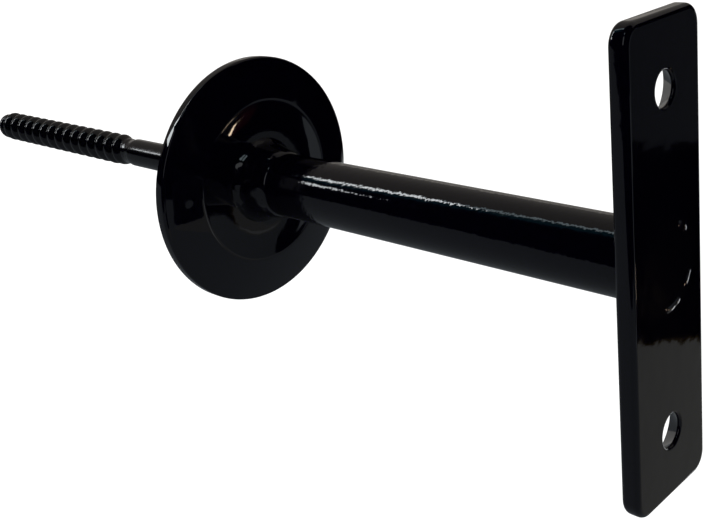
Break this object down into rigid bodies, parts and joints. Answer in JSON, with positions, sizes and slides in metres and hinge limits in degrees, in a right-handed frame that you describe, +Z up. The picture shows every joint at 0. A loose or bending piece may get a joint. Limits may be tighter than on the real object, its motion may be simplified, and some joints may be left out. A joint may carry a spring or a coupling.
{
  "type": "shutter dog holdback",
  "caption": "Wall post for a shutter dog: a hanger bolt, a round dished rosette, a straight tubular post and a flat drilled plate at its outer end, all in black coated steel.",
  "frame": {"origin": "on the post's axis, in the plane of the wall's face, at the centre of the hole that the hanger bolt is screwed into", "axes": "+Y along the post's axis into the wall, -Y out of the wall towards the plate, +Z up along the plate's long side, +X along its short side"},
  "size_m": [0.0762, 0.2936, 0.1142],
  "materials": {
    "black_coat": "gloss black powder coat with a slight orange peel",
    "bare_steel": "machined mild steel"
  },
  "bodies": {
    "wall_bolt": {"hanger_bolt": "black_coat"},
    "post": {"rosette": "black_coat", "rosette_weld": "black_coat", "post_tube": "black_coat", "bolt_bush": "bare_steel", "plate_end_plug": "bare_steel", "mounting_plate": "black_coat", "back_weld": "black_coat", "front_weld": "black_coat"}
  },
  "joints": [
    {"name": "post_turn", "type": "hinge", "parent": "wall_bolt", "child": "post", "pos_m": [0, 0, 0], "axis": [0, -1, 0], "range_deg": [-90, 90]}
  ]
}
